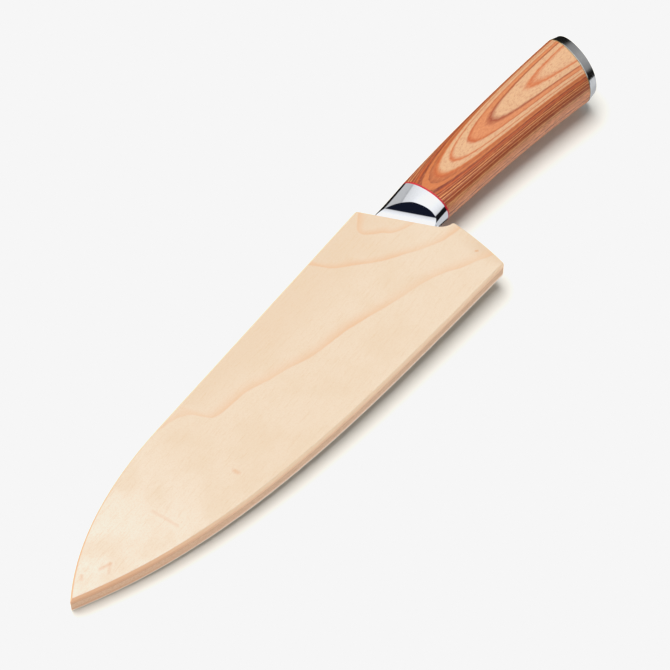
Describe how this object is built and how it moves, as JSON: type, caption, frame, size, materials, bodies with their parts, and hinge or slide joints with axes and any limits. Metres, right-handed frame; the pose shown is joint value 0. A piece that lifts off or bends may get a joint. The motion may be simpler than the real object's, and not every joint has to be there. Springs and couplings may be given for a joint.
{
  "type": "knife blade guard",
  "caption": "Flat wooden blade guard, glued up from thin boards round a slot, with a bevelled outline and a slanted mouth, on the wood-handled kitchen knife that it covers.",
  "frame": {"origin": "in the guard's mouth, on the slot's mid-plane, where the line along the mouth's slanted edge crosses the blade's long axis", "axes": "+X out of the mouth, from the blade's tip to the handle's butt; +Y from the cutting edge to the spine; +Z out of the front board's face"},
  "size_m": [0.3161, 0.0597, 0.0224],
  "materials": {
    "maple_ply": "pale, fine-grained, sanded and lightly sealed",
    "core_ply": "pale wood seen along its glued edge",
    "magnet_steel": "nickel-plated",
    "blade_steel": "fine satin",
    "bolster_steel": "mirror polished",
    "red_liner": "polished crimson",
    "handle_wood": "dyed laminated wood, polished",
    "rear_liner": "polished",
    "cap_steel": "brushed round its rim",
    "rod_steel": "bare"
  },
  "bodies": {
    "guard": {"front_board": "maple_ply", "back_board": "maple_ply", "spine_core_strip": "core_ply", "edge_core_strip": "core_ply", "front_magnets": "magnet_steel", "back_magnets": "magnet_steel"},
    "knife": {"blade": "blade_steel", "bolster": "bolster_steel", "ring_spacer": "red_liner", "handle_body": "handle_wood", "rear_spacer": "rear_liner", "butt_cap": "cap_steel", "tang_rod": "rod_steel"}
  },
  "joints": [
    {"name": "knife_slide", "type": "slide", "parent": "guard", "child": "knife", "axis": [1, 0, 0], "range_m": [0, 0.205]}
  ]
}
